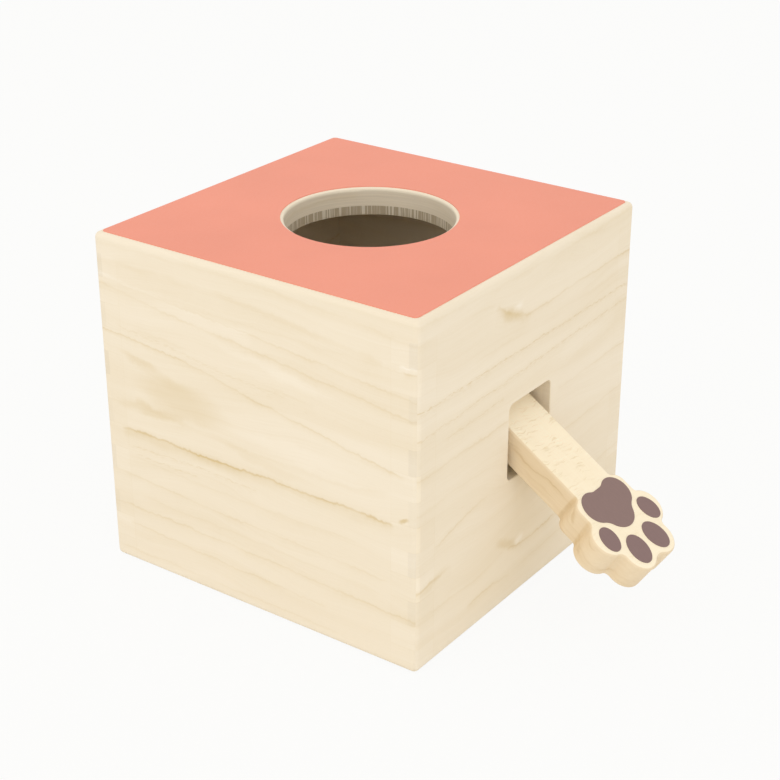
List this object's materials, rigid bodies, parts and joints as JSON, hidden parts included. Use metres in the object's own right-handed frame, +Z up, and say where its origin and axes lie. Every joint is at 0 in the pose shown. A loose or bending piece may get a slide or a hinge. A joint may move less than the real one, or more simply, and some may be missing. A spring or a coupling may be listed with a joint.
{
  "type": "cat activity box",
  "caption": "Finger-jointed wooden cat activity box with a coral top, a round reaching hole and a paw-shaped lever that swings in a slot of one wall.",
  "frame": {"origin": "middle of the box's underside, on the surface that it stands on", "axes": "+Z up; +X out through the slotted wall, towards the paw; +Y to the rear wall"},
  "size_m": [0.2235, 0.16, 0.1503],
  "materials": {
    "box_wood": "fine sanded, clear matt",
    "plywood": "raw, sanded",
    "block_wood": "raw, sanded",
    "coral_laminate": "matt",
    "lever_wood": "fine sanded, clear matt",
    "pad_print": "matt print",
    "pin_steel": "ground",
    "screw_steel": "zinc plated",
    "nylon": "natural"
  },
  "bodies": {
    "box": {"paw_wall": "box_wood", "side_wall": "box_wood", "front_wall": "box_wood", "rear_wall": "box_wood", "bottom_panel": "plywood", "corner_block_1": "block_wood", "corner_block_2": "block_wood", "corner_block_3": "block_wood", "corner_block_4": "block_wood", "bottom_screws": "screw_steel", "top_board": "box_wood", "top_underlay": "plywood", "top_laminate": "coral_laminate", "pivot_pin": "pin_steel", "front_washer": "nylon", "rear_washer": "nylon", "front_cheek": "block_wood", "rear_cheek": "block_wood", "cheek_screws": "screw_steel", "stop_dowel": "block_wood"},
    "lever": {"paw_lever": "lever_wood", "main_pad": "pad_print", "toe_pad_1": "pad_print", "toe_pad_2": "pad_print", "toe_pad_3": "pad_print", "toe_pad_4": "pad_print"}
  },
  "joints": [
    {"name": "paw_swing", "type": "hinge", "parent": "box", "child": "lever", "pos_m": [0.074, 0, 0.0746], "axis": [0, -1, 0], "range_deg": [0, 79]}
  ]
}
